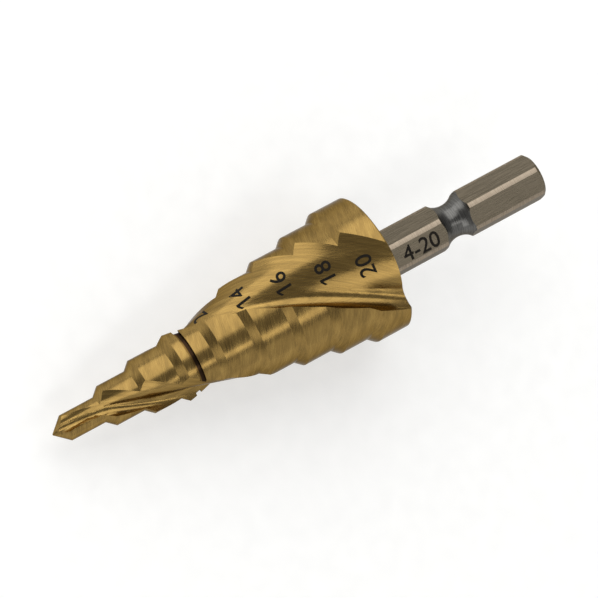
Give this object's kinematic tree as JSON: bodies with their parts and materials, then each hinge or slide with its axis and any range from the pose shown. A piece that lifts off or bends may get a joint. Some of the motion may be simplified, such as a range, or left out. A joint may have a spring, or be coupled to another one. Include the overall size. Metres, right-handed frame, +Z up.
{
  "type": "step drill",
  "caption": "Stepped conical drill with helical flutes and a hex quick-change shank, for opening and sizing holes in sheet metal.",
  "frame": {"origin": "middle of the bounding box, at the height of the surface that the drill lies on", "axes": "+Z up; +X runs level from the point towards the shank end, so the drill's own axis climbs at 6.38 degrees from -X to +X and lies in the XZ plane; +Y across the drill"},
  "size_m": [0.0768, 0.0198, 0.0192],
  "materials": {
    "coated_steel": "ground high-speed steel with a gold titanium nitride coating on the stepped body, bare ground steel on the hex shank"
  },
  "bodies": {
    "root": {"step_drill": "coated_steel"}
  },
  "joints": []
}
